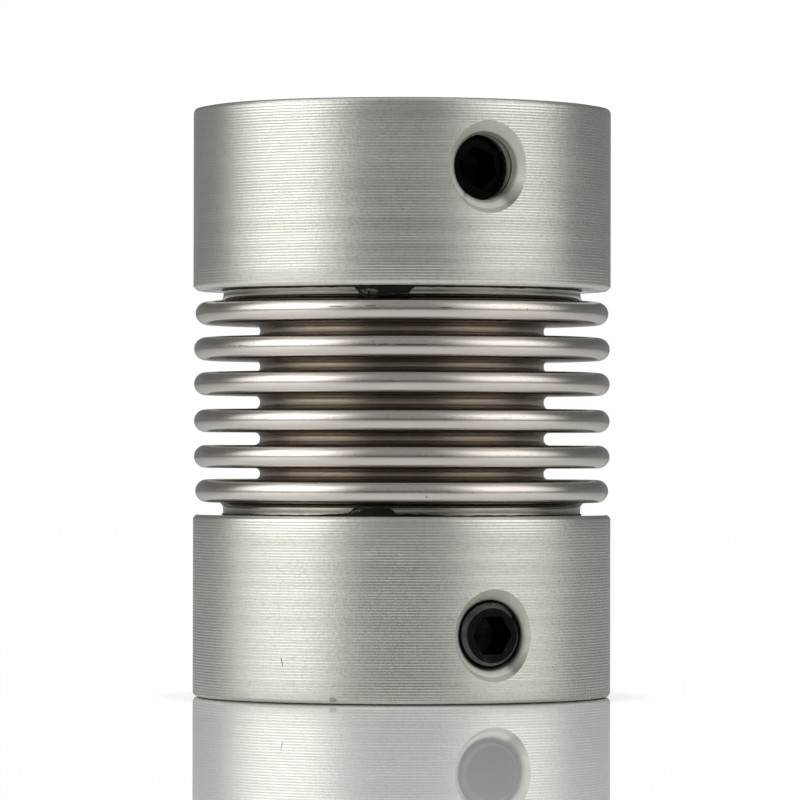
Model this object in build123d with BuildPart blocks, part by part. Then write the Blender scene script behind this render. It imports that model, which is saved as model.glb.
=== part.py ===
from build123d import *
import os
from math import cos, hypot, radians, sin

# A flexible shaft coupling: two set-screw hubs joined by a thin metal bellows.
# The axis is Z, the lower hub stands on Z = 0, and the front of the coupling faces -Y.
# Lengths are in millimetres and angles in degrees.

# Hubs
hub_diameter = 25.0
hub_length = 10.9
hub_edge_chamfer = 0.2
bore_diameter = 10.0
bore_chamfer = 0.3
recess_depth = 2.0  # counterbore in the inner face that takes the bellows cuff

# Bellows, formed from one thin tube
convolution_count = 6
crest_width = 1.36  # outside width of one convolution along the axis
root_gap = 0.79  # open gap between two convolutions
end_gap = 0.645  # from a hub's inner face to the nearest convolution
crest_relief = 0.05  # how far the crests lie inside the hub diameter
end_crest_relief = 0.08  # how much lower the first and last crests are formed
convolution_depth = 3.95  # crest to root, measured on the radius
cuff_step = 1.75  # crest to end cuff, measured on the radius
crest_rise = 0.35  # how far a crest rises from its shoulders
sheet_thickness = 0.2

# Cured retaining compound between each cuff and its recess
bond_thickness = 0.1
bond_inset = 0.15  # how far the compound stops short of the hub's inner face

# Cup-point set screws, two to a hub at a right angle, in tapped and countersunk holes
thread_diameter = 4.0
thread_clearance = 0.05
countersink_diameter = 5.4
screw_height = 4.0  # from a hub's end face to its screw axes
screw_length = 5.0
screw_chamfer = 0.3
socket_across_flats = 2.0
socket_depth = 2.2
cup_diameter = 2.0
cup_depth = 0.6
screw_spacing = 90.0
lower_hub_turn = 25.7  # from the front to the first screw, towards +X
upper_hub_turn = 24.0
lower_front_sink = 0.35  # how deep a screw sits below the hub's outside
upper_front_sink = 1.7
side_sink = 0.8

# Worked out from the sizes above
hub_radius = hub_diameter / 2
bore_radius = bore_diameter / 2
crest_radius = hub_radius - crest_relief
root_radius = crest_radius - convolution_depth
cuff_radius = crest_radius - cuff_step
recess_radius = cuff_radius + bond_thickness
convolution_pitch = crest_width + root_gap
hub_gap = (convolution_count - 1) * convolution_pitch + crest_width + 2 * end_gap
overall_length = 2 * hub_length + hub_gap
lower_inner_face = hub_length
upper_inner_face = hub_length + hub_gap
hole_radius = thread_diameter / 2
screw_radius = hole_radius - thread_clearance
cup_radius = cup_diameter / 2


def radial_plane(turn, height, radius):
    """Plane square to a screw's axis, its normal pointing out of the hub and its Y pointing up."""
    outward = Vector(sin(radians(turn)), -cos(radians(turn)), 0)
    across = Vector(cos(radians(turn)), sin(radians(turn)), 0)
    return Plane(outward * radius + Vector(0, 0, height), x_dir=across, z_dir=outward)


def build_hub(label, end_face, inward, turn):
    """Turned hub that runs from its end face along Z, upwards for inward = 1 and downwards for -1."""
    inner_face = end_face + inward * hub_length
    with BuildPart() as hub:
        with BuildSketch(Plane.XY.offset(end_face)):
            Circle(hub_radius)
            Circle(bore_radius, mode=Mode.SUBTRACT)
        extrude(amount=inward * hub_length)
        with BuildSketch(Plane.XY.offset(inner_face)):
            Circle(recess_radius)
        extrude(amount=-inward * recess_depth, mode=Mode.SUBTRACT)
        rims = hub.edges().filter_by(GeomType.CIRCLE).group_by(SortBy.RADIUS)
        chamfer(rims[-1], hub_edge_chamfer)
        chamfer(rims[0], bore_chamfer)
        for hole_turn in (turn, turn + screw_spacing):
            tap = radial_plane(hole_turn, end_face + inward * screw_height, hub_radius)
            with Locations(tap.location):
                CounterSinkHole(
                    radius=hole_radius,
                    counter_sink_radius=countersink_diameter / 2,
                    depth=hub_radius - bore_radius / 2,
                    counter_sink_angle=90,
                )
    hub.part.label = label
    return hub.part


def build_set_screw(label, turn, height, sink):
    """Hex-socket set screw with a cup point, its head sunk below the hub's outside."""
    head = radial_plane(turn, height, hub_radius - sink)
    point = head.offset(-screw_length)
    with BuildPart() as screw:
        with BuildSketch(head):
            Circle(screw_radius)
        extrude(amount=-screw_length)
        chamfer(screw.edges().filter_by(GeomType.CIRCLE), screw_chamfer)
        with BuildSketch(head):
            RegularPolygon(socket_across_flats / 2, 6, major_radius=False)
        extrude(amount=-socket_depth, mode=Mode.SUBTRACT)
        with Locations(point.location):
            Cone(
                bottom_radius=cup_radius,
                top_radius=0,
                height=cup_depth,
                align=(Align.CENTER, Align.CENTER, Align.MIN),
                mode=Mode.SUBTRACT,
            )
    screw.part.label = label
    return screw.part


def build_bond(label, recess_floor, inward):
    """Ring of cured compound, from the floor of a recess towards the hub's inner face."""
    with BuildPart() as bond:
        with BuildSketch(Plane.XY.offset(recess_floor)):
            Circle(recess_radius)
            Circle(cuff_radius, mode=Mode.SUBTRACT)
        extrude(amount=inward * (recess_depth - bond_inset))
    bond.part.label = label
    return bond.part


lower_hub = build_hub("lower_hub", 0, 1, lower_hub_turn)
upper_hub = build_hub("upper_hub", overall_length, -1, upper_hub_turn)

lower_screw_height = screw_height
upper_screw_height = overall_length - screw_height
lower_front_screw = build_set_screw(
    "lower_front_screw", lower_hub_turn, lower_screw_height, lower_front_sink
)
lower_side_screw = build_set_screw(
    "lower_side_screw", lower_hub_turn + screw_spacing, lower_screw_height, side_sink
)
upper_front_screw = build_set_screw(
    "upper_front_screw", upper_hub_turn, upper_screw_height, upper_front_sink
)
upper_side_screw = build_set_screw(
    "upper_side_screw", upper_hub_turn + screw_spacing, upper_screw_height, side_sink
)

lower_recess_floor = lower_inner_face - recess_depth
upper_recess_floor = upper_inner_face + recess_depth
lower_bond = build_bond("lower_bond", lower_recess_floor, 1)
upper_bond = build_bond("upper_bond", upper_recess_floor, -1)

# The bellows' section is two open lines, one for the outside of the sheet and one for the inside.
# Each crest is a low roof outside. Inside, its flat lies one sheet thickness behind the roof.
half_width = crest_width / 2
inside_half_width = half_width - sheet_thickness
roof_slope = crest_rise / half_width
inside_drop = sheet_thickness * hypot(1, roof_slope) + roof_slope * inside_half_width
outside_line = [(cuff_radius, lower_recess_floor)]
inside_line = [(cuff_radius - sheet_thickness, lower_recess_floor)]
for index in range(convolution_count):
    centre = lower_inner_face + end_gap + half_width + index * convolution_pitch
    first = index == 0
    last = index == convolution_count - 1
    crest = crest_radius - (end_crest_relief if first or last else 0)
    shoulder = crest - crest_rise
    ceiling = crest - inside_drop
    foot_below = cuff_radius if first else root_radius
    foot_above = cuff_radius if last else root_radius
    outside_line += [
        (foot_below, centre - half_width),
        (shoulder, centre - half_width),
        (crest, centre),
        (shoulder, centre + half_width),
        (foot_above, centre + half_width),
    ]
    inside_line += [
        (foot_below - sheet_thickness, centre - inside_half_width),
        (ceiling, centre - inside_half_width),
        (ceiling, centre + inside_half_width),
        (foot_above - sheet_thickness, centre + inside_half_width),
    ]
outside_line += [(cuff_radius, upper_recess_floor)]
inside_line += [(cuff_radius - sheet_thickness, upper_recess_floor)]

with BuildPart() as bellows:
    with BuildSketch(Plane.XZ):
        with BuildLine():
            Polyline(*outside_line, *reversed(inside_line), close=True)
        make_face()
    revolve(axis=Axis.Z)
bellows.part.label = "bellows"

os.makedirs("parts", exist_ok=True)
for piece in (
    lower_hub,
    upper_hub,
    lower_front_screw,
    lower_side_screw,
    upper_front_screw,
    upper_side_screw,
    lower_bond,
    upper_bond,
    bellows.part,
):
    export_step(piece, f"parts/{piece.label}.step")
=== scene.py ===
"""Bellows coupling: two turned set-screw hubs joined by a formed metal bellows.

Solids are worked in millimetres and become pieces in metres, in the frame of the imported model.
The axis is Z, and a turn is an angle in degrees from the front (-Y) towards +X.
"""

import logging
import math
from collections.abc import Callable, Sequence
from dataclasses import dataclass, field
from enum import Enum

import bmesh
import bpy
from mathutils import Matrix, Vector, noise


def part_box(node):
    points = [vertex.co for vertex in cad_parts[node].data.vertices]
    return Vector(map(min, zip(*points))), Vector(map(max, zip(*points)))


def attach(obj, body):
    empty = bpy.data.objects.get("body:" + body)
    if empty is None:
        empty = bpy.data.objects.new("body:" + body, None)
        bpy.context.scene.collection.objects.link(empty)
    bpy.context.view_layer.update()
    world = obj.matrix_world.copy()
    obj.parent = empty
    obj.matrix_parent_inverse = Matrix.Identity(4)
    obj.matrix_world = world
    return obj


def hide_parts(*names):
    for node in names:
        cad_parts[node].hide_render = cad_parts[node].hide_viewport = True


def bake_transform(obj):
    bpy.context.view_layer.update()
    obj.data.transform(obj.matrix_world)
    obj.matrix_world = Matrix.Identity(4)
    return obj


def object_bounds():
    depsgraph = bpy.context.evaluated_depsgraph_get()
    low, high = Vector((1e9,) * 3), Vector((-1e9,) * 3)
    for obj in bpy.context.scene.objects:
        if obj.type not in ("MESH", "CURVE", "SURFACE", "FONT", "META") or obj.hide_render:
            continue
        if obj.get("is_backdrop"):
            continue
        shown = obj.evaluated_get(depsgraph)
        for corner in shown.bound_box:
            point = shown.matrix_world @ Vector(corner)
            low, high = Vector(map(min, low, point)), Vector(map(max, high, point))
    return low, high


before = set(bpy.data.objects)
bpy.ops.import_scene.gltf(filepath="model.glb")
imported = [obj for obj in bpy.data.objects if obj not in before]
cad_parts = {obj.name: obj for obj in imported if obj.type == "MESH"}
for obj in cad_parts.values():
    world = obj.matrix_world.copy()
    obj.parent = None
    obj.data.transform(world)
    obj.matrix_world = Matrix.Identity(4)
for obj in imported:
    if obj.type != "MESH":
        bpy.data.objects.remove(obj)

log = logging.getLogger("coupling")

MM = 0.001
RING_STEPS = 240
HUB_STEPS = 360
THREAD_STEPS = 48
TOOL_STEPS = 96
MERGE = 1e-4
SKIN = 0.012

Colour = tuple[float, float, float]


def grey(level: float) -> Colour:
    """A neutral colour."""
    return (level, level, level)


class Cut(Enum):
    """What a tool leaves of a solid."""

    AWAY = "DIFFERENCE"
    COMMON = "INTERSECT"


def outward(turn: float) -> Vector:
    """Level direction that points away from the axis at a turn."""
    angle = math.radians(turn)
    return Vector((math.sin(angle), -math.cos(angle), 0))


def linked(name: str, data: bpy.types.ID) -> bpy.types.Object:
    """Put data into the scene.

    Args:
        name: the new object's name.
        data: its mesh, lamp or camera.

    Returns:
        The object.
    """
    thing = bpy.data.objects.new(name, data)
    bpy.context.scene.collection.objects.link(thing)
    return thing


@dataclass(frozen=True)
class Corner:
    """A corner of a turned outline, in millimetres, and the radius that rounds it."""

    radius: float
    height: float
    rounding: float = 0.0
    facets: int = 3


class Solid:
    """A closed mesh in millimetres that turning, tapping and cutting shape."""

    def __init__(self) -> None:
        """Start with an empty mesh."""
        self.bm = bmesh.new()

    def _outline(self, corners: Sequence[Corner]) -> None:
        """Lay a closed outline out beside the axis and round it.

        Args:
            corners: the outline's corners in order.
        """
        points = [self.bm.verts.new((c.radius, 0, c.height)) for c in corners]
        self.bm.faces.new(points)
        rounded = [(p, c) for p, c in zip(points, corners) if c.rounding]
        for size in sorted({(c.rounding, c.facets) for _, c in rounded}):
            same = [p for p, c in rounded if (c.rounding, c.facets) == size]
            shape = {"offset": size[0], "segments": size[1], "profile": 0.5, "material": -1}
            bmesh.ops.bevel(self.bm, geom=same, affect="VERTICES", **shape)
        bmesh.ops.remove_doubles(self.bm, verts=self.bm.verts[:], dist=MERGE)
        bmesh.ops.delete(self.bm, geom=self.bm.faces[:], context="FACES_ONLY")

    def _spin(self, steps: int, turns: int = 1, rise: float = 0.0) -> None:
        """Turn what is laid out round the axis.

        Args:
            steps: facets to a turn.
            turns: how many turns.
            rise: rise at each facet, in millimetres.
        """
        bmesh.ops.spin(
            self.bm,
            geom=self.bm.verts[:] + self.bm.edges[:],
            axis=(0, 0, 1),
            dvec=(0, 0, rise),
            angle=math.tau * turns,
            steps=steps * turns,
            use_merge=rise == 0,
        )
        bmesh.ops.remove_doubles(self.bm, verts=self.bm.verts[:], dist=MERGE)

    def outwards(self) -> "Solid":
        """Point every face outwards and return the solid."""
        bmesh.ops.recalc_face_normals(self.bm, faces=self.bm.faces[:])
        return self

    @classmethod
    def turned(cls, corners: Sequence[Corner], steps: int) -> "Solid":
        """Turn a closed outline.

        Args:
            corners: the outline's corners in order, none left of the axis.
            steps: facets round the axis.

        Returns:
            The closed solid.
        """
        solid = cls()
        solid._outline(corners)
        solid._spin(steps)
        return solid.outwards()

    @classmethod
    def tube(cls, corners: Sequence[Corner], wall: float) -> "Solid":
        """Turn an open outline and give it a wall.

        Args:
            corners: the outside line from one end to the other.
            wall: thickness of the wall, which lies inside that line.

        Returns:
            The closed tube.
        """
        solid = cls()
        core = min(c.radius for c in corners) / 2
        ends = (Corner(core, corners[-1].height), Corner(core, corners[0].height))
        solid._outline((*corners, *ends))
        closing = [v for v in solid.bm.verts if v.co.x < core + MERGE]
        bmesh.ops.delete(solid.bm, geom=closing, context="VERTS")
        solid._spin(RING_STEPS)
        solid.outwards()
        side = max(solid.bm.faces, key=lambda f: f.calc_center_median().xy.length)
        middle = side.calc_center_median()
        if side.normal.xy.dot(middle.xy) < 0:
            bmesh.ops.reverse_faces(solid.bm, faces=solid.bm.faces[:])
        bmesh.ops.solidify(solid.bm, geom=solid.bm.faces[:], thickness=wall)
        return solid

    @classmethod
    def threaded(
        cls, pitch: float, major: float, minor: float, bottom: float, top: float
    ) -> "Solid":
        """Cut a right-hand V thread along Z, in step with every other thread on the same axis.

        Args:
            pitch: rise of one turn.
            major: radius of the crests.
            minor: radius of the roots.
            bottom: height of the lower end.
            top: height of the upper end.

        Returns:
            The closed rod.
        """
        solid = cls()
        crest, root = pitch / 8, pitch / 4
        flank = (pitch - crest - root) / 2
        start = (math.floor(bottom / pitch) - 1) * pitch
        turns = math.ceil((top - start) / pitch) + 1
        tooth = [(minor, 0), (minor, root), (major, root + flank)]
        tooth += [(major, root + flank + crest), (minor, pitch)]
        points = [solid.bm.verts.new((r, 0, start + h)) for r, h in tooth]
        for pair in zip(points, points[1:]):
            solid.bm.edges.new(pair)
        solid._spin(THREAD_STEPS, turns, pitch / THREAD_STEPS)
        for height, away in ((bottom, -1), (top, 1)):
            every = solid.bm.verts[:] + solid.bm.edges[:] + solid.bm.faces[:]
            plane = {"plane_co": (0, 0, height), "plane_no": (0, 0, away)}
            bmesh.ops.bisect_plane(solid.bm, geom=every, clear_outer=True, **plane)
        rims = [e for e in solid.bm.edges if len(e.link_faces) == 1]
        bmesh.ops.edgeloop_fill(solid.bm, edges=rims)
        return solid.outwards()

    @classmethod
    def cone(cls, foot: tuple[float, float], mouth: tuple[float, float]) -> "Solid":
        """Make a cone on the Z axis.

        Args:
            foot: radius and height of its lower end.
            mouth: radius and height of its upper end.

        Returns:
            The closed cone.
        """
        solid = cls()
        depth = mouth[1] - foot[1]
        middle = Matrix.Translation((0, 0, foot[1] + depth / 2))
        shape = {"radius1": foot[0], "radius2": mouth[0], "depth": depth, "matrix": middle}
        bmesh.ops.create_cone(solid.bm, cap_ends=True, segments=TOOL_STEPS, **shape)
        return solid

    def placed(self, matrix: Matrix) -> "Solid":
        """Move the solid by a matrix and return it."""
        bmesh.ops.transform(self.bm, matrix=matrix, verts=self.bm.verts[:])
        return self

    def upside_down(self, height: float) -> "Solid":
        """Mirror the solid in Z about half of a height, keep its normals out, and return it."""
        turned_over = Matrix.Translation((0, 0, height)) @ Matrix.Diagonal((1, 1, -1, 1))
        return self.placed(turned_over).outwards()

    def _object(self, name: str) -> bpy.types.Object:
        """Put the mesh into the scene.

        Args:
            name: the object's name.

        Returns:
            The object.
        """
        mesh = bpy.data.meshes.new(name)
        self.bm.to_mesh(mesh)
        return linked(name, mesh)

    def cut(self, tool: "Solid", keep: Cut = Cut.AWAY) -> "Solid":
        """Cut the solid with another one.

        Args:
            tool: the solid to cut with.
            keep: what is left of this solid.

        Returns:
            This solid, after the cut.
        """
        body, cutter = self._object("cut_body"), tool._object("cut_tool")
        step = body.modifiers.new("cut", "BOOLEAN")
        step.operation = keep.value
        step.object = cutter
        step.solver = "EXACT"
        shaped = body.evaluated_get(bpy.context.evaluated_depsgraph_get())
        result = bpy.data.meshes.new_from_object(shaped)
        self.bm.clear()
        self.bm.from_mesh(result)
        for thing in (body, cutter):
            mesh = thing.data
            bpy.data.objects.remove(thing)
            bpy.data.meshes.remove(mesh)
        bpy.data.meshes.remove(result)
        return self

    def faced(self, index: int, where: Callable[[Vector], bool]) -> "Solid":
        """Give some faces another finish.

        Args:
            index: the finish's number.
            where: a test of a face's middle.

        Returns:
            This solid.
        """
        for face in self.bm.faces:
            if where(face.calc_center_median()):
                face.material_index = index
        return self

    def piece(
        self, name: str, finishes: Sequence[bpy.types.Material], crease: float = 30
    ) -> bpy.types.Object:
        """Make the finished piece, in metres.

        Args:
            name: the piece's name.
            finishes: its materials, by number.
            crease: the angle in degrees past which an edge stays sharp.

        Returns:
            The piece's object, at the origin.
        """
        bmesh.ops.scale(self.bm, vec=(MM, MM, MM), verts=self.bm.verts[:])
        thing = self._object(name)
        for finish in finishes:
            thing.data.materials.append(finish)
        thing.data.shade_smooth()
        thing.data.set_sharp_from_angle(angle=math.radians(crease))
        return thing


def math_node(operation: str, swapped: bool = False) -> Callable[..., "Value"]:
    """Make a method that adds a Math node.

    Args:
        operation: what the node does.
        swapped: whether the value itself comes second.

    Returns:
        The method, which takes the other value where there is one.
    """

    def method(self: "Value", *other: "Value | float") -> "Value":
        """Add the node."""
        terms = (*other, self) if swapped else (self, *other)
        return self.graph.node("ShaderNodeMath", dict(enumerate(terms)), operation=operation)

    return method


@dataclass(frozen=True)
class Value:
    """A number in a node tree. Python's operators on it add Math nodes."""

    graph: "Graph"
    socket: bpy.types.NodeSocket

    __add__ = __radd__ = math_node("ADD")
    __sub__ = math_node("SUBTRACT")
    __rsub__ = math_node("SUBTRACT", swapped=True)
    __mul__ = __rmul__ = math_node("MULTIPLY")
    __truediv__ = math_node("DIVIDE")
    __pow__ = math_node("POWER")
    __abs__ = math_node("ABSOLUTE")
    sine = math_node("SINE")
    fraction = math_node("FRACT")
    least = math_node("MINIMUM")
    most = math_node("MAXIMUM")

    def step(self, low: float, high: float) -> "Value":
        """Step smoothly from 0 to 1.

        Args:
            low: where the step is 0.
            high: where it is 1, which may be the smaller.

        Returns:
            The step.
        """
        first, last = (0.0, 1.0) if low < high else (1.0, 0.0)
        ends = {0: self, 1: min(low, high), 2: max(low, high), 3: first, 4: last}
        return self.graph.node("ShaderNodeMapRange", ends, interpolation_type="SMOOTHSTEP")


class Graph:
    """A node tree being built."""

    def __init__(self, tree: bpy.types.NodeTree) -> None:
        """Clear the tree."""
        self.tree = tree
        tree.nodes.clear()

    def node(
        self,
        kind: str,
        inputs: dict[int | str, object] | None = None,
        output: int | str = 0,
        **settings: object,
    ) -> Value:
        """Add one node.

        Args:
            kind: the node's type.
            inputs: values or links, by socket name or number.
            output: the socket to hand back.
            **settings: the node's properties.

        Returns:
            The chosen output.
        """
        made = self.tree.nodes.new(kind)
        for name, setting in settings.items():
            setattr(made, name, setting)
        for key, value in (inputs or {}).items():
            if isinstance(value, Value):
                self.tree.links.new(value.socket, made.inputs[key])
            else:
                made.inputs[key].default_value = value
        return Value(self, made.outputs[output]) if made.outputs else Value(self, None)

    def place(self) -> Value:
        """Object coordinates, in millimetres."""
        metres = self.node("ShaderNodeTexCoord", output="Object")
        return self.node("ShaderNodeMapping", {"Vector": metres, "Scale": (1 / MM,) * 3})

    def split(self, vector: Value) -> tuple[Value, Value, Value]:
        """The three parts of a vector."""
        parts = self.node("ShaderNodeSeparateXYZ", {0: vector}).socket.node
        return tuple(Value(self, output) for output in parts.outputs)

    def length(self, vector: Value) -> Value:
        """Length of a vector."""
        return self.node("ShaderNodeVectorMath", {0: vector}, "Value", operation="LENGTH")

    def rings(self, place: Value) -> tuple[Value, Value]:
        """Height and distance from the part's axis."""
        x, y, z = self.split(place)
        return z, (x * x + y * y) ** 0.5

    def local(
        self, place: Value, middle: Sequence[float], turns: Sequence[float], size: Sequence[float]
    ) -> Value:
        """Change coordinates to a frame of its own.

        Args:
            place: the coordinates.
            middle: the frame's origin.
            turns: its rotation, in degrees.
            size: its units.

        Returns:
            The coordinates in that frame.
        """
        rotation = tuple(math.radians(turn) for turn in turns)
        inputs = {"Vector": place, "Location": middle, "Rotation": rotation, "Scale": size}
        return self.node("ShaderNodeMapping", inputs, vector_type="TEXTURE")

    def grain(
        self, vector: Value, scale: float, detail: float = 2, stretch: Sequence[float] = (1, 1, 1)
    ) -> Value:
        """Noise from 0 to 1.

        Args:
            vector: the coordinates.
            scale: how many features to a millimetre.
            detail: octaves.
            stretch: share of that scale along each axis.

        Returns:
            The noise.
        """
        scales = tuple(scale * share for share in stretch)
        spread = self.node("ShaderNodeMapping", {"Vector": vector, "Scale": scales})
        inputs = {"Vector": spread, "Scale": 1.0, "Detail": detail}
        return self.node("ShaderNodeTexNoise", inputs)

    def band_noise(self, line: Value, scale: float) -> Value:
        """Noise from 0 to 1 that changes along one line only."""
        inputs = {"W": line * scale, "Scale": 1.0, "Detail": 2}
        return self.node("ShaderNodeTexNoise", inputs, noise_dimensions="1D")

    def mix(self, factor: Value | float, first: object, second: object) -> Value:
        """Mix two colours.

        Args:
            factor: share of the second.
            first: a colour, or a value.
            second: a colour, or a value.

        Returns:
            The mix.
        """
        colours = {6: first, 7: second}
        for key, colour in colours.items():
            if not isinstance(colour, Value):
                colours[key] = (*colour, 1)
        return self.node("ShaderNodeMix", {0: factor, **colours}, 2, data_type="RGBA")

    def bump(self, height: Value, depth: float) -> Value:
        """Normal from a height of 0 to 1 that stands for a depth in millimetres."""
        inputs = {"Height": height, "Distance": depth * MM, "Strength": 1.0}
        return self.node("ShaderNodeBump", inputs, "Normal")

    def marked(
        self, colour: object, marks: "Sequence[Mark]", share: Value | float, tone: Colour
    ) -> object:
        """Lay a tone over a colour inside each mark.

        Args:
            colour: the colour underneath.
            marks: where the tone lies.
            share: how much of it shows.
            tone: the tone.

        Returns:
            The marked colour.
        """
        for mark in marks:
            colour = self.mix(mark.mask(self) * share, colour, tone)
        return colour

    def surface(self, shader: Value) -> None:
        """End the tree with a shader."""
        kind = "World" if isinstance(self.tree.id_data, bpy.types.World) else "Material"
        self.node("ShaderNodeOutput" + kind, {"Surface": shader})

    def principled(self, sockets: dict[str, object]) -> None:
        """End the tree with a Principled shader whose sockets are given."""
        self.surface(self.node("ShaderNodeBsdfPrincipled", sockets))

    def metal(self, colour: Value, roughness: Value, height: Value, depth: float) -> None:
        """End the tree with a metal whose relief of 0 to 1 stands for a depth in millimetres."""
        inputs = {"Base Color": colour, "Roughness": roughness, "Metallic": 1.0}
        self.principled({**inputs, "Normal": self.bump(height, depth)})


@dataclass(frozen=True)
class ScrewSeat:
    """Where a set screw lies, read from its node."""

    turn: float
    height: float
    middle: float

    @classmethod
    def of(cls, node: str) -> "ScrewSeat":
        """Read the seat of a screw.

        Args:
            node: the screw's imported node.

        Returns:
            The seat, from the middle of the node's box.
        """
        low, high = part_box(node)
        centre = (low + high) / 2 / MM
        turn = math.degrees(math.atan2(centre.x, -centre.y))
        return cls(turn, centre.z, centre.xy.length)

    @property
    def frame(self) -> Matrix:
        """Find the frame of the hole.

        Returns:
            A matrix on the part's axis whose Z runs out along the hole, and whose Y points up.
        """
        away = outward(self.turn)
        up = Vector((0, 0, 1))
        rows = Matrix((up.cross(away), up, away)).transposed()
        return Matrix.Translation((0, 0, self.height)) @ rows.to_4x4()

    def near(self, point: Vector, reach: float, outside: float) -> bool:
        """Whether a point lies in the hole, inside the hub's outer surface."""
        local = self.frame.inverted() @ point
        return local.z > 0 and local.xy.length < reach and point.xy.length < outside - SKIN


@dataclass(frozen=True)
class Mark:
    """A small mark on a surface: its middle, its half lengths along, up and in, and its lean."""

    turn: float
    height: float
    radius: float
    along: float
    up: float
    lean: float = 0.0
    depth: float = 0.3

    def mask(self, graph: Graph) -> Value:
        """Find the mark on a surface.

        Args:
            graph: the material's node tree.

        Returns:
            1 inside it and 0 outside.
        """
        middle = outward(self.turn) * self.radius + Vector((0, 0, self.height))
        size = (self.along, self.depth, self.up)
        local = graph.local(graph.place(), middle, (0, self.lean, self.turn), size)
        return graph.length(local).step(1.15, 0.75)


@dataclass(frozen=True)
class Finish:
    """A finish that a material is made from."""

    name: str

    def material(self) -> bpy.types.Material:
        """Make the material.

        Returns:
            The material, with the finish's nodes.
        """
        made = bpy.data.materials.new(self.name)
        made.use_nodes = True
        self.build(Graph(made.node_tree))
        return made

    def build(self, graph: Graph) -> None:
        """Add the finish's nodes.

        Args:
            graph: the material's node tree.
        """
        raise NotImplementedError


@dataclass(frozen=True)
class TurnedAluminium(Finish):
    """Clear-anodised aluminium with the fine, even feed marks of the lathe."""

    colour: Colour = (0.645, 0.655, 0.607)
    hazed: Colour = (0.70, 0.705, 0.665)
    furrowed: Colour = (0.535, 0.55, 0.495)
    scuffed: Colour = (0.80, 0.80, 0.78)
    chipped: Colour = (0.33, 0.33, 0.31)
    soiled: Colour = (0.05, 0.045, 0.035)
    feed: float = 0.167
    depth: float = 0.0085
    weave: float = 0.8
    roughness: float = 0.32
    plain_band: float = 0.24
    low: float = 0.0
    high: float = 10.9
    dark_marks: tuple[Mark, ...] = ()
    pale_marks: tuple[Mark, ...] = ()
    grey_marks: tuple[Mark, ...] = ()

    def build(self, graph: Graph) -> None:
        """Add feed marks that run along the outside and across the faces.

        Args:
            graph: the material's node tree.
        """
        place = graph.place()
        z, radius = graph.rings(place)
        line = z + radius
        wave = (line * (math.tau / self.feed)).sine() * 0.5 + 0.5
        drift = graph.band_noise(line, 1.3)
        tooth = graph.band_noise(line, 4.6)
        plain = ((z - self.low).least(self.high - z)).step(self.plain_band * 0.8, self.plain_band)
        height = (wave * (0.7 + 0.3 * drift.step(0.35, 0.65)) + tooth * 0.25) * plain
        weave = graph.grain(place, 5.5, 1, (1, 1, 0.6))
        height = height + weave * self.weave
        haze = graph.grain(place, 0.35)
        speck = graph.grain(place, 9.0, 1)
        colour = graph.mix(haze.step(0.3, 0.8) * 0.12, self.colour, self.hazed)
        colour = graph.mix(weave.step(0.48, 0.72) * 0.5, colour, self.furrowed)
        worn = graph.grain(place, 2.2, 3).step(0.45, 0.7)
        colour = graph.marked(colour, self.pale_marks, worn * 0.55, self.scuffed)
        colour = graph.marked(colour, self.grey_marks, 0.8, self.chipped)
        colour = graph.marked(colour, self.dark_marks, 0.85, self.soiled)
        rough = self.roughness + (haze - 0.5) * 0.06 + (speck - 0.5) * 0.08
        graph.metal(colour, rough, height, self.depth)


@dataclass(frozen=True)
class BoredAluminium(Finish):
    """Satin aluminium of countersinks and bores, with a painted highlight on one side of each rim,
    a darker, glossier patch beside each hole and painted shade down each thread.
    """

    colour: Colour = (0.68, 0.69, 0.615)
    dull: Colour = (0.575, 0.585, 0.52)
    rim_highlight_colour: Colour = (0.97, 0.975, 0.91)
    thread_shade_colour: Colour = (0.05, 0.05, 0.045)
    dark_patch_colour: Colour = (0.24, 0.24, 0.22)
    roughness: float = 0.55
    depth: float = 0.0025
    rim: float = 2.36
    dark_patch_place: tuple[float, float] = (1.85, -1.6)
    thread_top: float = 11.95
    shade: float = 0.5
    holes: tuple[ScrewSeat, ...] = ()

    def hole(self, graph: Graph, place: Value, seat: ScrewSeat) -> tuple[Value, Value, Value]:
        """Find the parts of one hole.

        Args:
            graph: the node tree.
            place: the object coordinates.
            seat: where the hole is.

        Returns:
            Its rim with the painted highlight, its darker patch and its thread under painted shade,
            each 1 there and 0 elsewhere.
        """
        local = graph.local(place, (0, 0, seat.height), (0, 0, seat.turn), (1, 1, 1))
        across, inward, up = graph.split(local)
        radius = (across * across + up * up) ** 0.5
        out = inward * -1.0
        inside = out.step(6.0, 8.0) * radius.step(3.4, 3.2)
        # Painted shade: the thread deeper than its top is coloured dark, as the shade inside the
        # hole.
        thread = out.step(self.thread_top, self.thread_top - 0.15) * inside
        # Painted highlight: the rim is coloured near white on one side only, the side the light
        # falls on.
        lit_side = (across * -0.5 + up * -0.85).step(-0.4, 1.1)
        rim = radius.step(self.rim + 0.12, self.rim) * lit_side * inside
        # A darker, glossier patch at the same place beside every hole.
        aside, above = across - self.dark_patch_place[0], up - self.dark_patch_place[1]
        dark_patch = ((aside * aside + above * above) ** 0.5).step(1.1, 0.5) * inside
        return rim, dark_patch, thread

    def build(self, graph: Graph) -> None:
        """Add a soft cutting texture and treat the holes.

        Args:
            graph: the material's node tree.
        """
        place = graph.place()
        fine = graph.grain(place, 7.0, 3)
        cloud = graph.grain(place, 0.9)
        colour = graph.mix(cloud.step(0.3, 0.75) * 0.5, self.colour, self.dull)
        rough = self.roughness + (cloud - 0.5) * 0.12
        for seat in self.holes:
            rim, dark_patch, thread = self.hole(graph, place, seat)
            # Paint the rim highlight into the colour.
            colour = graph.mix(rim, colour, self.rim_highlight_colour)
            colour = graph.mix(dark_patch * 0.7, colour, self.dark_patch_colour)
            # Paint the shade down the thread; the shade setting says how much.
            colour = graph.mix(thread * self.shade, colour, self.thread_shade_colour)
            rough = rough - dark_patch * 0.15
        graph.metal(colour, rough, fine, self.depth)


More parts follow.
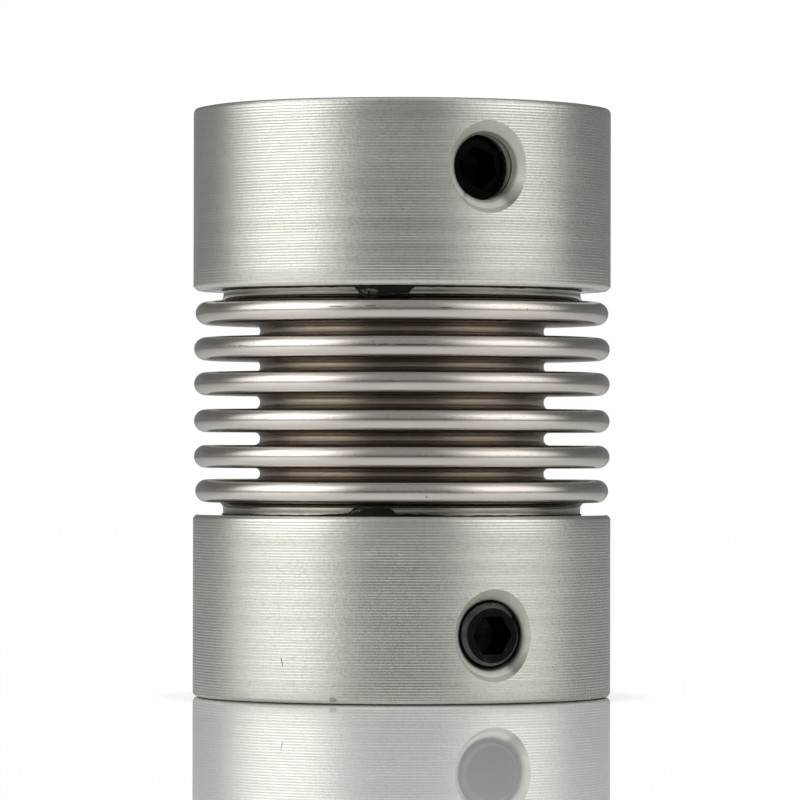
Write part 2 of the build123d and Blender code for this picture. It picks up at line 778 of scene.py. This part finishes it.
@dataclass(frozen=True)
class FacedAluminium(Finish):
    """The bright, mirror-turned flat of a hub's inner face."""

    colour: Colour = (0.80, 0.80, 0.77)
    dull: Colour = (0.70, 0.70, 0.67)

    def build(self, graph: Graph) -> None:
        """Add faint clouds to the mirror.

        Args:
            graph: the material's node tree.
        """
        cloud = graph.grain(graph.place(), 0.8)
        colour = graph.mix(cloud.step(0.4, 0.7), self.colour, self.dull)
        graph.principled({"Base Color": colour, "Metallic": 1.0, "Roughness": 0.0})


@dataclass(frozen=True)
class FormedSteel(Finish):
    """Thin stainless sheet, satin, with fine dirt along the crests and painted shade in the roots
    and on the cuffs.
    """

    colour: Colour = (0.60, 0.57, 0.53)
    clouded: Colour = (0.54, 0.51, 0.47)
    root_shade_colour: Colour = (0.42, 0.38, 0.33)
    cuff_shade_colour: Colour = (0.37, 0.35, 0.31)
    cuff_deep_shade_colour: Colour = (0.12, 0.11, 0.09)
    dusty: Colour = (0.2, 0.18, 0.15)
    specked: Colour = (0.25, 0.23, 0.21)
    soiled: Colour = (0.08, 0.075, 0.06)
    black: Colour = (0.03, 0.028, 0.022)
    roughness: float = 0.23
    depth: float = 0.0015
    middle: float = 17.6
    first_crest: float = 12.225
    pitch: float = 2.15
    crest_radius: float = 12.3
    dark_marks: tuple[Mark, ...] = ()
    dirt_lines: tuple[Mark, ...] = ()

    def build(self, graph: Graph) -> None:
        """Add the grain, the line of dirt on each crest and the painted shade in the roots and on
        the cuffs.

        Args:
            graph: the material's node tree.
        """
        place = graph.place()
        z, radius = graph.rings(place)
        along = graph.grain(place, 5.0, 3, (1, 1, 3))
        cloud = graph.grain(place, 0.6, 3)
        row = ((z - (self.first_crest - self.pitch / 2)) / self.pitch).fraction() - 0.5
        over = row * self.pitch
        outside = radius.step(self.crest_radius - 0.15, self.crest_radius)
        crest = abs(over - 0.06).step(0.12, 0.03) * outside
        shoulder = over.step(-0.05, 0.05) * over.step(0.45, 0.25) * radius.step(11.9, 12.1)
        specks = graph.grain(place, 8.0).step(0.6, 0.7)
        broken = graph.grain(place, 2.6, 3).step(0.4, 0.56)
        dust = graph.grain(place, 6.0, 3, (1, 1, 2.5)).step(0.52, 0.68)
        patch = graph.grain(place, 0.45).step(0.42, 0.62)
        tint = graph.mix(cloud.step(0.35, 0.75) * 0.3, self.colour, self.clouded)
        # Painted shade: darker and warmer towards the roots, between the crests.
        tint = graph.mix(radius.step(11.2, 8.8), tint, self.root_shade_colour)
        from_middle = z - self.middle
        cuff = abs(from_middle).step(5.75, 6.05)
        # Painted shade on the cuffs, where the hubs shadow them, deeper on the upper cuff.
        tint = graph.mix(cuff, tint, self.cuff_shade_colour)
        cuff_shade_share = cuff * (0.25 + from_middle.step(0.0, 1.0) * 0.15)
        tint = graph.mix(cuff_shade_share, tint, self.cuff_deep_shade_colour)
        dirty = graph.mix(crest * dust * patch * 0.5, tint, self.dusty)
        dirty = graph.mix(shoulder * specks * 0.35, dirty, self.specked)
        dirty = graph.marked(dirty, self.dirt_lines, broken * 0.75, self.soiled)
        dirty = graph.marked(dirty, self.dark_marks, 0.9, self.black)
        rough = self.roughness + (cloud - 0.5) * 0.12 + (along - 0.5) * 0.08 - cuff * 0.10
        graph.metal(dirty, rough, along, self.depth)


@dataclass(frozen=True)
class BlackOxide(Finish):
    """Black-oxide alloy steel with a thin film of oil; lighter copies paint a highlight on the
    chamfers, darker copies paint shade.
    """

    colour: Colour = (0.009, 0.009, 0.010)
    worn: Colour = (0.035, 0.034, 0.033)
    roughness: float = 0.32
    depth: float = 0.004

    def build(self, graph: Graph) -> None:
        """Add the fine oxide grain and a little wear; in the lighter copies these make the painted
        highlight.

        Args:
            graph: the material's node tree.
        """
        place = graph.place()
        fine = graph.grain(place, 8.0, 3)
        cloud = graph.grain(place, 1.6, 3)
        colour = graph.mix(cloud.step(0.5, 0.8) * 0.6, self.colour, self.worn)
        rough = self.roughness + (cloud - 0.5) * 0.2
        graph.metal(colour, rough, fine, self.depth)


@dataclass(frozen=True)
class CuredCompound(Finish):
    """Dark green-black retaining compound, with pale marks: a pale sliver on the lower ring and
    painted glints on the upper one.
    """

    colour: Colour = (0.005, 0.007, 0.003)
    clouded: Colour = (0.012, 0.016, 0.008)
    fleck_and_glint_colour: Colour = (0.32, 0.33, 0.30)
    roughness: float = 0.32
    specular: float = 0.3
    depth: float = 0.03
    pale_marks: tuple[Mark, ...] = ()

    def build(self, graph: Graph) -> None:
        """Add the lumps, the pale sliver and painted glints, and the gloss.

        Args:
            graph: the material's node tree.
        """
        place = graph.place()
        lumps = graph.grain(place, 4.0, 3)
        cloud = graph.grain(place, 1.4)
        colour = graph.mix(cloud.step(0.4, 0.7), self.colour, self.clouded)
        fleck_and_glint = graph.grain(place, 7.0).step(0.42, 0.54)
        colour = graph.marked(colour, self.pale_marks, fleck_and_glint * 0.8, self.fleck_and_glint_colour)
        inputs = {"Base Color": colour, "Roughness": self.roughness + lumps * 0.2}
        relief = graph.bump(lumps, self.depth)
        graph.principled({**inputs, "Normal": relief, "Specular IOR Level": self.specular})


@dataclass(frozen=True)
class GlossyFloor(Finish):
    """White acrylic sheet: white underneath, mirror-clear on top, dark far from the lights."""

    colour: Colour = grey(0.90)
    far_colour: Colour = grey(0.05)
    far: float = 400.0
    near: float = 140.0
    own_white: float = 0.95
    soft_front: float = 0.28
    soft_left: float = 0.42
    soft_right: float = 0.24
    contact: float = 13.0
    clear: float = 15.5
    ior: float = 1.46

    def build(self, graph: Graph) -> None:
        """Mix the white and the mirror by angle; most of the white stays as plain background.

        Args:
            graph: the material's node tree.
        """
        x, y, _ = graph.split(graph.place())
        away = (x * x + y * y) ** 0.5
        white = (1, 1, 1, 1)
        reach = away - y.most(0.0) * 0.5
        lit = graph.mix(reach.step(self.far, self.near), self.far_colour, self.colour)
        matt = graph.node("ShaderNodeBsdfDiffuse", {"Color": lit})
        glow = graph.node("ShaderNodeEmission", {"Color": white, "Strength": 1.0})
        side = (abs(x) / away.most(1.0)).step(0.3, 0.85)
        beside = self.soft_left + x.step(-20.0, 20.0) * (self.soft_right - self.soft_left)
        soft = (self.soft_front + side * beside) * y.step(60.0, -10.0)
        blurred = graph.node("ShaderNodeLightPath", output="Is Glossy Ray") * soft
        plain = (seen_plainly(graph) * self.own_white).most(blurred)
        # Near the part the plain white is taken away: the floor there shows its real shade, and is
        # also darker as a painted contact shadow round the foot.
        plain = plain * away.step(self.contact, self.clear)
        base = graph.node("ShaderNodeMixShader", {0: plain, 1: matt, 2: glow})
        mirror = graph.node("ShaderNodeBsdfGlossy", {"Color": white, "Roughness": 0.0})
        angle = graph.node("ShaderNodeFresnel", {"IOR": self.ior})
        graph.surface(graph.node("ShaderNodeMixShader", {0: angle, 1: base, 2: mirror}))


def seen_plainly(graph: Graph) -> Value:
    """Find the rays that show the background itself: straight, once mirrored or through glass.

    Args:
        graph: the node tree that asks.

    Returns:
        1 for those rays and 0 for the others.
    """
    names = "Is Camera Ray", "Is Glossy Ray", "Is Singular Ray", "Is Transmission Ray", "Ray Depth"
    straight, glossy, sharp, through, depth = (
        graph.node("ShaderNodeLightPath", output=name) for name in names
    )
    mirrored = glossy * sharp * depth.step(2.6, 2.4)
    return straight.most(mirrored).most(through)


@dataclass
class Hub:
    """A turned hub with a recessed inner face and two tapped, countersunk radial holes."""

    node: str
    body: str
    screws: tuple[str, str]
    finish: TurnedAluminium
    bored: bpy.types.Material
    faced: bpy.types.Material
    bore: float = 5.0
    recess: float = 10.8
    recess_depth: float = 2.0
    rim_chamfer: float = 0.2
    end_chamfer: float = 0.10
    end_height: float = 0.17
    end_lift: float = 0.08
    end_slope: float = 0.45
    edge_break: float = 0.03
    bore_break: float = 0.04
    bore_chamfer: float = 0.3
    countersink: float = 2.7
    sink_depth: float = 1.5
    overrun: float = 0.5
    tap_stop: float = 0.3
    tap_major: float = 2.1
    tap_minor: float = 1.93
    tap_pitch: float = 0.7

    def blank(self, radius: float, length: float) -> Solid:
        """Turn the hub without its radial holes, its end face on the floor.

        Args:
            radius: the hub's radius.
            length: its length.

        Returns:
            The closed solid.
        """
        floor = length - self.recess_depth
        c = self.bore_chamfer
        rim = (self.edge_break, 2)
        soft = (self.bore_break, 2)
        flat = radius - self.end_chamfer
        walls = [Corner(radius, length * k / 8) for k in range(1, 8)]
        outline = [
            Corner(self.bore + c, 0, *soft),
            Corner(flat - self.end_slope, 0),
            Corner(flat, self.end_lift, *rim),
            Corner(radius, self.end_lift + self.end_height, *rim),
            *walls,
            Corner(radius, length - self.rim_chamfer, *rim),
            Corner(radius - self.rim_chamfer, length, *rim),
            Corner(self.recess, length, 0.05, 2),
            Corner(self.recess, floor),
            Corner(self.bore + c, floor, *soft),
            Corner(self.bore, floor - c, *soft),
            Corner(self.bore, c, *soft),
        ]
        return Solid.turned(outline, HUB_STEPS)

    def build(self) -> bpy.types.Object:
        """Turn, drill and tap the hub.

        Returns:
            The finished piece.
        """
        low, high = (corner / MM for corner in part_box(self.node))
        radius, length = high.x, high.z - low.z
        solid = self.blank(radius, length)
        if low.z > length:
            solid.upside_down(length)
        solid.placed(Matrix.Translation((0, 0, low.z)))
        for screw in self.screws:
            hole = ScrewSeat.of(screw)
            deep, past = self.sink_depth, self.overrun
            foot = (self.countersink - deep, radius - deep)
            sink = Solid.cone(foot, (self.countersink + past, radius + past))
            thread = (self.tap_pitch, self.tap_major, self.tap_minor)
            tap = Solid.threaded(*thread, self.bore - deep, radius - self.tap_stop)
            solid.cut(tap.placed(hole.frame)).cut(sink.placed(hole.frame))
            solid.faced(1, lambda p, h=hole: h.near(p, self.countersink + 0.1, radius))
        solid.faced(1, lambda p: p.xy.length < self.recess + 0.02)
        inner_face = low.z if low.z > length else high.z
        flat = self.recess + 0.06
        solid.faced(2, lambda p: abs(p.z - inner_face) < 0.01 and p.xy.length > flat)
        finishes = (self.finish.material(), self.bored, self.faced)
        piece = solid.piece(self.node + "_turned", finishes)
        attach(piece, self.body)
        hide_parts(self.node)
        return piece


@dataclass
class SetScrew:
    """A socket set screw with a cup point."""

    node: str
    body: str
    finish: bpy.types.Material
    edge: bpy.types.Material
    socket_turn: float = 0.0
    length: float = 5.0
    major: float = 1.9
    minor: float = 1.6
    pitch: float = 0.7
    face: float = 1.64
    across_flats: float = 2.2
    socket_depth: float = 2.2
    cup: float = 1.0
    cup_depth: float = 0.6
    ease: float = 0.02
    tip_break: float = 0.05
    overrun: float = 0.2

    def socket(self, top: float) -> Solid:
        """Make the hexagon that the key fits, with rounded corners.

        Args:
            top: height of the screw's end.

        Returns:
            The solid to cut with.
        """
        solid = Solid()
        across_corners = self.across_flats / 2 / math.cos(math.radians(30))
        bottom = top - self.socket_depth
        turned = Matrix.Rotation(math.radians(self.socket_turn), 4, "Z")
        frame_of = Matrix.Translation((0, 0, bottom)) @ turned
        shape = {"segments": 6, "radius": across_corners, "matrix": frame_of}
        base = bmesh.ops.create_circle(solid.bm, cap_ends=True, **shape)
        raised = bmesh.ops.extrude_face_region(solid.bm, geom=base["verts"][0].link_faces[:])
        lifted = [g for g in raised["geom"] if isinstance(g, bmesh.types.BMVert)]
        bmesh.ops.translate(solid.bm, vec=(0, 0, self.socket_depth + 0.5), verts=lifted)
        uprights = [e for e in solid.bm.edges if abs(e.verts[0].co.z - e.verts[1].co.z) > 0.5]
        rounding = {"offset": 0.09, "segments": 3, "profile": 0.5, "material": -1}
        bmesh.ops.bevel(solid.bm, geom=uprights, affect="EDGES", **rounding)
        return solid.outwards()

    def build(self) -> bpy.types.Object:
        """Thread the rod, trim its ends and sink the socket.

        Returns:
            The finished piece.
        """
        seat = ScrewSeat.of(self.node)
        top = seat.middle + self.length / 2
        bottom = top - self.length
        rod = self.major + self.ease
        slope = self.major - self.face + self.ease
        tip = (self.tip_break, 2)
        outline = [
            Corner(0, bottom + self.cup_depth),
            Corner(self.cup, bottom, *tip),
            Corner(self.face - 0.1, bottom, *tip),
            Corner(rod, bottom + slope + 0.1, *tip),
            Corner(rod, top - slope, 0.04, 2),
            Corner(self.face, top, 0.07, 3),
            Corner(0, top),
        ]
        ends = (bottom - self.overrun, top + self.overrun)
        solid = Solid.threaded(self.pitch, self.major + 2 * self.ease, self.minor, *ends)
        solid.cut(Solid.turned(outline, TOOL_STEPS), Cut.COMMON)
        mouth = self.across_flats / 2 + 0.03
        solid.cut(self.socket(top))
        solid.cut(Solid.cone((mouth - 0.2, top - 0.2), (mouth + 0.3, top + 0.3)))
        drill = self.across_flats / 2 - self.ease
        deep = top - self.socket_depth
        solid.cut(Solid.cone((0.0, deep - 0.6), (drill, deep + self.ease)))
        # The chamfer ring takes the second material, with its painted highlight.
        solid.faced(1, lambda p: p.z > top - slope - 0.03 and p.xy.length > self.face - 0.03)
        piece = solid.placed(seat.frame).piece(self.node + "_piece", (self.finish, self.edge))
        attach(piece, self.body)
        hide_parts(self.node)
        return piece


@dataclass
class Bellows:
    """The formed tube: six rolled crests, flat-floored roots and a plain cuff at each end."""

    finish: bpy.types.Material
    cuff: float = 10.7
    root: float = 8.5
    crest: float = 12.45
    end_relief: float = 0.08
    half_width: float = 0.68
    pitch: float = 2.15
    first: float = 12.225
    wall: float = 0.2
    root_flat: float = 0.03
    cuff_round: float = 0.38
    shifts: tuple[float, ...] = (0.08, -0.015, -0.03, 0.03, -0.03, -0.05)

    def fillet(self, index: int) -> float:
        """Find the radius at the foot of the walls of a gap.

        Args:
            index: number of the crest below the gap.

        Returns:
            The radius, which at either end is the cuff's.
        """
        if not 0 <= index < len(self.shifts) - 1:
            return self.cuff_round
        gap = self.pitch + self.shifts[index + 1] - self.shifts[index] - 2 * self.half_width
        return (gap - self.root_flat) / 2

    def build(self) -> bpy.types.Object:
        """Turn the outside line and give it the sheet's thickness.

        Returns:
            The finished piece.
        """
        low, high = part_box("bellows")
        outline = [Corner(self.cuff, low.z / MM)]
        last = len(self.shifts) - 1
        for index, shift in enumerate(self.shifts):
            centre = self.first + index * self.pitch + shift
            ends = index in (0, last)
            crest = self.crest - (self.end_relief if ends else 0)
            below = self.cuff if index == 0 else self.root
            above = self.cuff if index == last else self.root
            half = self.half_width
            outline += [
                Corner(below, centre - half, self.fillet(index - 1), 5),
                Corner(crest, centre - half, half, 9),
                Corner(crest, centre + half, half, 9),
                Corner(above, centre + half, self.fillet(index), 5),
            ]
        outline.append(Corner(self.cuff, high.z / MM))
        piece = Solid.tube(outline, self.wall).piece("bellows_tube", (self.finish,), 50)
        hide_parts("bellows")
        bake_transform(piece)
        return piece


@dataclass(frozen=True)
class Smear:
    """Where compound has run over the cuff: from one turn to another, and how far."""

    start: float
    end: float
    reach: float
    edge: float = 2.0

    def at(self, turn: float) -> float:
        """Find how far the smear reaches.

        Args:
            turn: the turn to look at.

        Returns:
            Its reach there, in millimetres.
        """
        rise = min(max((turn - self.start) / self.edge, 0), 1)
        fall = min(max((self.end - turn) / self.edge, 0), 1)
        return self.reach * rise * rise * (3 - 2 * rise) * fall * fall * (3 - 2 * fall)


@dataclass
class Compound:
    """The ring of cured compound between a cuff and its recess, squeezed out at the mouth."""

    node: str
    body: str
    finish: bpy.types.Material
    face: float
    away: int
    smears: tuple[Smear, ...]
    cuff: float = 10.7
    bead: float = 0.05
    ripple: float = 0.8
    ragged: float = 0.18
    lumpy: float = 0.004
    seed: float = 0.0

    def smear(self, point: Vector, lip: float) -> None:
        """Move a point past the lip as far out as the compound runs there, and make it lumpy.

        Args:
            point: the point, which is changed.
            lip: height where the compound leaves the recess.
        """
        past = (point.z - lip) * self.away
        turn = math.degrees(math.atan2(point.x, -point.y))
        ripple = noise.noise(Vector((point.x, point.y, self.seed)) * 1.7)
        fine = noise.noise(Vector((point.x, point.y, self.seed + 5)) * 6.0)
        reach = self.bead * (1 + self.ripple * ripple) + sum(s.at(turn) for s in self.smears)
        reach *= 1 + self.ragged * fine
        point.z = lip + self.away * past * reach
        if reach > 0.15:
            lump = max(noise.noise(point * 4.0 + Vector((0, 0, self.seed))), 0)
            point.xy *= 1 + self.lumpy * lump

    def build(self) -> bpy.types.Object:
        """Turn the ring and pull its mouth out unevenly along the cuff.

        Returns:
            The finished piece.
        """
        low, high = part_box(self.node)
        deep = (low.z if self.away > 0 else high.z) / MM
        wall = high.x / MM - 0.005
        lip = self.face + self.away * 0.02
        outline = [
            Corner(self.cuff - 0.01, deep),
            Corner(wall, deep),
            Corner(wall, self.face - self.away * 0.02),
            Corner(self.cuff + 0.06, lip, 0.02, 2),
            Corner(self.cuff + 0.035, lip + self.away * 0.4),
            Corner(self.cuff + 0.02, lip + self.away * 0.8),
            Corner(self.cuff - 0.01, lip + self.away * 1.0),
        ]
        solid = Solid.turned(outline, HUB_STEPS)
        for vertex in solid.bm.verts:
            if (vertex.co.z - lip) * self.away > 0.05:
                self.smear(vertex.co, lip)
        piece = solid.piece(self.node + "_cured", (self.finish,), 60)
        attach(piece, self.body)
        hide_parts(self.node)
        return piece


@dataclass(frozen=True)
class Softbox:
    """A rectangular soft light."""

    name: str
    turn: float
    width: float
    power: float
    rise: float = 27
    distance: float = 0.60
    height: float = 0.42
    colour: Colour = (1.0, 0.965, 0.93)

    def build(self, target: Vector) -> None:
        """Set the light up.

        Args:
            target: the point it faces.
        """
        lamp = bpy.data.lights.new(self.name, "AREA")
        lamp.shape = "RECTANGLE"
        lamp.size, lamp.size_y = self.width, self.height
        lamp.energy = self.power
        lamp.color = self.colour
        thing = linked(self.name, lamp)
        level = outward(self.turn) * math.cos(math.radians(self.rise))
        aim = level + Vector((0, 0, math.sin(math.radians(self.rise))))
        thing.location = target + aim * self.distance
        thing.rotation_euler = aim.to_track_quat("Z", "Y").to_euler()


@dataclass(frozen=True)
class Glow:
    """A soft-edged pale wall round a softbox: its turn, where it ends and is full, its strength."""

    turn: float
    ends: float
    full: float
    strength: float
    low: tuple[float, float] = (-0.05, 0.22)
    high: tuple[float, float] = (0.99, 0.66)

    def value(self, x: Value, y: Value, up: Value) -> Value:
        """Find its light from a direction.

        Args:
            x: the direction's part to the right.
            y: its part to the back.
            up: its part upwards.

        Returns:
            The strength of the light.
        """
        level = (x * x + y * y).most(1e-4) ** 0.5
        away = outward(self.turn)
        facing = (x * away.x + y * away.y) / level
        across = facing.step(math.cos(math.radians(self.ends)), math.cos(math.radians(self.full)))
        return across * up.step(*self.low) * up.step(*self.high) * self.strength


@dataclass
class Studio:
    """Pale glossy table, white surroundings, two softboxes and the camera."""

    softboxes: tuple[Softbox, ...] = (
        Softbox("softbox_left", -67, 0.42, 0.33),
        Softbox("softbox_right", 65, 0.38, 0.20),
    )
    glows: tuple[Glow, ...] = (Glow(-71, 48, 9, 1.67), Glow(66.5, 43, 12, 1.05))
    ambient: float = 0.085
    rear_light: float = 0.14
    overhead: float = 0.28
    ceiling: float = 0.9
    floor_size: float = 3.0
    glow_colour: Colour = (1.0, 0.975, 0.945)
    lens: float = 257.7
    distance: float = 0.3433
    eye: float = 0.01469
    tilt: float = 0.512
    swing: float = 0.0185
    roll: float = 0.096

    def world(self) -> None:
        """White where the background is seen, and a soft grey room everywhere else."""
        scene_world = bpy.data.worlds.new("studio_room")
        scene_world.use_nodes = True
        bpy.context.scene.world = scene_world
        graph = Graph(scene_world.node_tree)
        direction = graph.node("ShaderNodeTexCoord", output="Generated")
        x, back, up = graph.split(direction)
        rear = back.step(0.1, 0.45)
        room = self.ambient + self.rear_light * rear * up.step(0.3, 0.1)
        room = room + self.overhead * up.step(0.06, 0.42) * (1 - 0.7 * rear)
        room = room + self.ceiling * up.step(0.80, 0.93) * back.step(-0.1, 0.2)
        lit = sum(glow.value(x, back, up) for glow in self.glows)
        plain = seen_plainly(graph)
        strength = (room + lit) * (1 - plain) + plain
        colour = graph.mix(lit.least(1.0) * (1 - plain), (1, 1, 1), self.glow_colour)
        sky = graph.node("ShaderNodeBackground", {"Color": colour, "Strength": strength})
        graph.surface(sky)

    def floor(self) -> None:
        """Lay the sheet that the part stands on."""
        bm = bmesh.new()
        bmesh.ops.create_grid(bm, x_segments=8, y_segments=8, size=self.floor_size)
        mesh = bpy.data.meshes.new("table_sheet")
        bm.to_mesh(mesh)
        mesh.materials.append(GlossyFloor("white_acrylic").material())
        sheet = linked("table_sheet", mesh)
        sheet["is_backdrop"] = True

    def camera(self) -> None:
        """Set the camera up in front of the part."""
        data = bpy.data.cameras.new("camera")
        data.lens = self.lens
        data.clip_start = 0.01
        data.clip_end = 50
        thing = linked("camera", data)
        tilt = Matrix.Rotation(math.radians(90 + self.tilt), 4, "X")
        swing = Matrix.Rotation(math.radians(self.swing), 4, "Z")
        roll = Matrix.Rotation(math.radians(self.roll), 4, "Z")
        place = Matrix.Translation((0, -self.distance, self.eye))
        thing.matrix_world = place @ swing @ tilt @ roll
        bpy.context.scene.camera = thing

    def build(self) -> None:
        """Set up everything round the part."""
        low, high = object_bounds()
        middle = Vector((0, 0, (low.z + high.z) / 2))
        self.world()
        self.floor()
        self.camera()
        for box in self.softboxes:
            box.build(middle)
        bpy.context.scene.view_settings.view_transform = "Standard"


@dataclass
class Coupling:
    """The whole coupling, made of its sub-assemblies."""

    pieces: list[bpy.types.Object] = field(default_factory=list)

    def hubs(self) -> None:
        """Make both hubs."""
        lower = TurnedAluminium(
            "turned_aluminium_lower",
            dark_marks=(Mark(-33.75, 2.42, 12.5, 0.035, 0.32, -14),),
            grey_marks=(Mark(-18.5, 0.3, 12.45, 0.24, 0.16),),
            pale_marks=(Mark(-4.0, 8.6, 12.4, 1.35, 0.65, 8),),
        )
        upper = TurnedAluminium("turned_aluminium_upper", low=24.3, high=35.2)
        faced = FacedAluminium("faced_aluminium").material()
        for side, turned, shade in (("lower", lower, 0.85), ("upper", upper, 0.45)):
            screws = (f"{side}_front_screw", f"{side}_side_screw")
            seats = tuple(ScrewSeat.of(node) for node in screws)
            bored = BoredAluminium("bored_aluminium_" + side, shade=shade, holes=seats).material()
            hub = Hub(side + "_hub", side + "_half", screws, turned, bored, faced)
            self.pieces.append(hub.build())

    def screws(self) -> None:
        """Make the four set screws, the upper pair painted blacker as shade."""
        lower = (
            BlackOxide("black_oxide_lower"),
            # Painted highlight: a lighter copy of the finish for the chamfer ring.
            BlackOxide("chamfer_highlight_lower", grey(0.09), grey(0.16)),
        )
        # Painted shade: the upper pair and their chamfer rings get darker copies of the finish.
        upper = (
            BlackOxide("shaded_black_oxide_upper", grey(0.004), grey(0.008)),
            BlackOxide("chamfer_highlight_upper", grey(0.02), grey(0.05)),
        )
        for side, finishes, turns in (("lower", lower, (30, 17)), ("upper", upper, (12, 40))):
            made = [finish.material() for finish in finishes]
            for place, turn in zip(("front", "side"), turns):
                screw = SetScrew(f"{side}_{place}_screw", side + "_half", *made, turn)
                self.pieces.append(screw.build())

    def bellows(self) -> None:
        """Make the bellows."""
        marks = (
            Mark(36.16, 22.98, 12.37, 0.06, 0.04),
            Mark(6.74, 12.04, 12.37, 0.045, 0.075, -20),
            Mark(-52.3, 11.39, 10.7, 0.05, 0.12),
            Mark(-32.44, 23.76, 10.75, 0.12, 0.06),
            Mark(-17.8, 23.06, 12.37, 0.55, 0.03),
        )
        lines = (
            Mark(-7.9, 23.1, 12.38, 0.75, 0.035, 0, 0.5),
            Mark(11.7, 23.0, 12.4, 0.48, 0.035, 0, 0.5),
            Mark(-51.0, 20.86, 12.4, 1.0, 0.035, 0, 0.5),
            Mark(-1.0, 20.86, 12.4, 2.7, 0.035, 0, 0.6),
        )
        steel = FormedSteel("formed_stainless", dark_marks=marks, dirt_lines=lines).material()
        self.pieces.append(Bellows(steel).build())

    def compound(self) -> None:
        """Make the two rings of compound."""
        lower_fleck = Mark(-14.0, 11.2, 10.78, 0.38, 0.06, -14)
        # Painted glints on the upper ring: pale colour where light catches the compound's lumps.
        upper_glint = Mark(-10.2, 24.0, 10.75, 0.5, 0.16)
        lower = (Smear(-16.8, -1.6, 0.5, 2.6), Smear(-31.0, 16.0, 0.09, 13.0))
        upper = (Smear(-15.0, 3.8, 0.5, 2.2),)
        lower_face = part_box("lower_hub")[1].z / MM
        upper_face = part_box("upper_hub")[0].z / MM
        for side, fleck_and_glint, face, away, smears, seed in (
            ("lower", lower_fleck, lower_face, 1, lower, 3.0),
            ("upper", upper_glint, upper_face, -1, upper, 8.0),
        ):
            cured = CuredCompound("cured_compound_" + side, pale_marks=(fleck_and_glint,)).material()
            ring = Compound(side + "_bond", side + "_half", cured, face, away, smears, seed=seed)
            self.pieces.append(ring.build())

    def build(self) -> None:
        """Make every piece and log it."""
        for step in (self.hubs, self.screws, self.bellows, self.compound):
            step()
        for piece in self.pieces:
            faces = sum(len(p.vertices) - 2 for p in piece.data.polygons)
            log.info("%s: %d triangles", piece.name, faces)


def main() -> None:
    """Build the studio and the coupling."""
    logging.basicConfig(level=logging.INFO, format="%(name)s: %(message)s")
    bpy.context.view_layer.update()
    Studio().build()
    Coupling().build()


if __name__ == "__main__":
    main()
